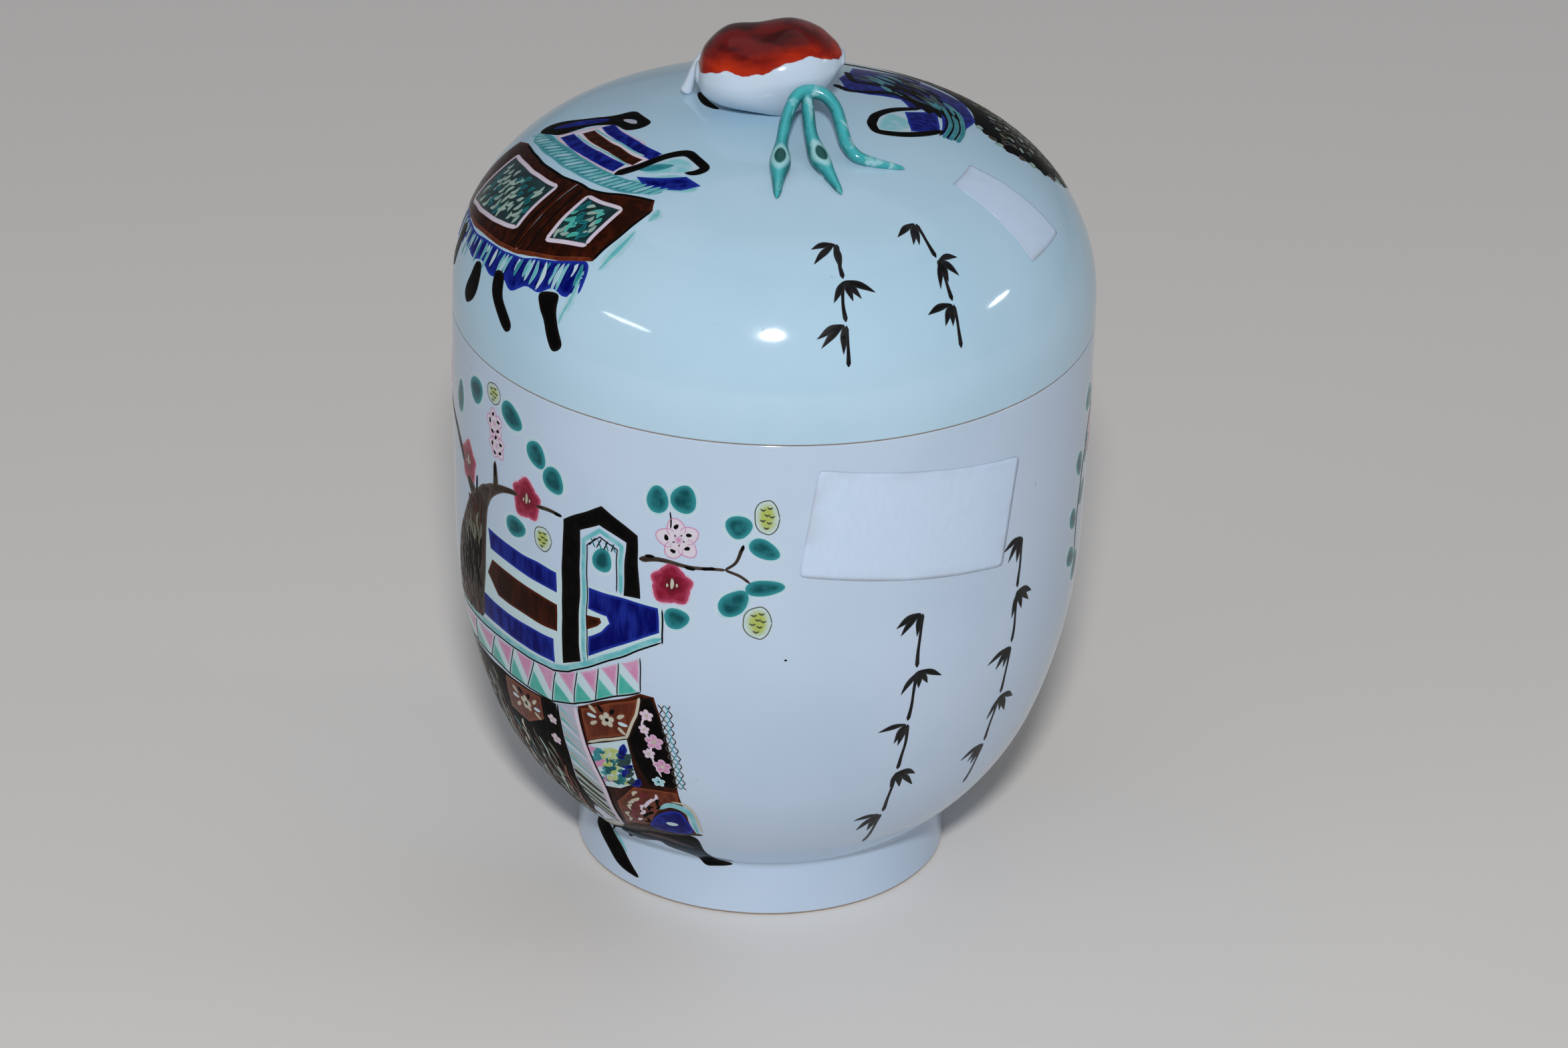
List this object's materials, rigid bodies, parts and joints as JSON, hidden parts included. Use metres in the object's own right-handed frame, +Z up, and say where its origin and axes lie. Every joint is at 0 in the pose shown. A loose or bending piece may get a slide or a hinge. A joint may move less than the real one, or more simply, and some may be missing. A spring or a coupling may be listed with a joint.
{
  "type": "lidded jar",
  "caption": "Footed porcelain jar with a domed lift-off lid, a locating flange inside the lid and a fungus-shaped knob on arched stems, for keeping dry goods.",
  "frame": {"origin": "centre of the foot ring's flat resting face, on the jar's axis", "axes": "+Z up along the jar's axis, -Y to the front with the label and the knob's stems, +X to the viewer's right"},
  "size_m": [0.14, 0.14, 0.1964],
  "materials": {
    "glaze": "glossy pale blue-white porcelain glaze",
    "red_enamel": "glossy iron-red enamel over a white underside",
    "turquoise_enamel": "glossy turquoise enamel, thin on the edges",
    "label_paper": "matt white paper, blank"
  },
  "bodies": {
    "jar": {"jar_body": "glaze", "jar_label": "label_paper"},
    "lid": {"lid_shell": "glaze", "knob_cap": "red_enamel", "knob_root": "glaze", "stem_crown": "turquoise_enamel", "stem_left": "turquoise_enamel", "stem_middle": "turquoise_enamel", "stem_right": "turquoise_enamel", "lid_label": "label_paper"}
  },
  "joints": [
    {"name": "lid_lift", "type": "slide", "parent": "jar", "child": "lid", "axis": [0, 0, 1], "range_m": [0, 0.12]}
  ]
}
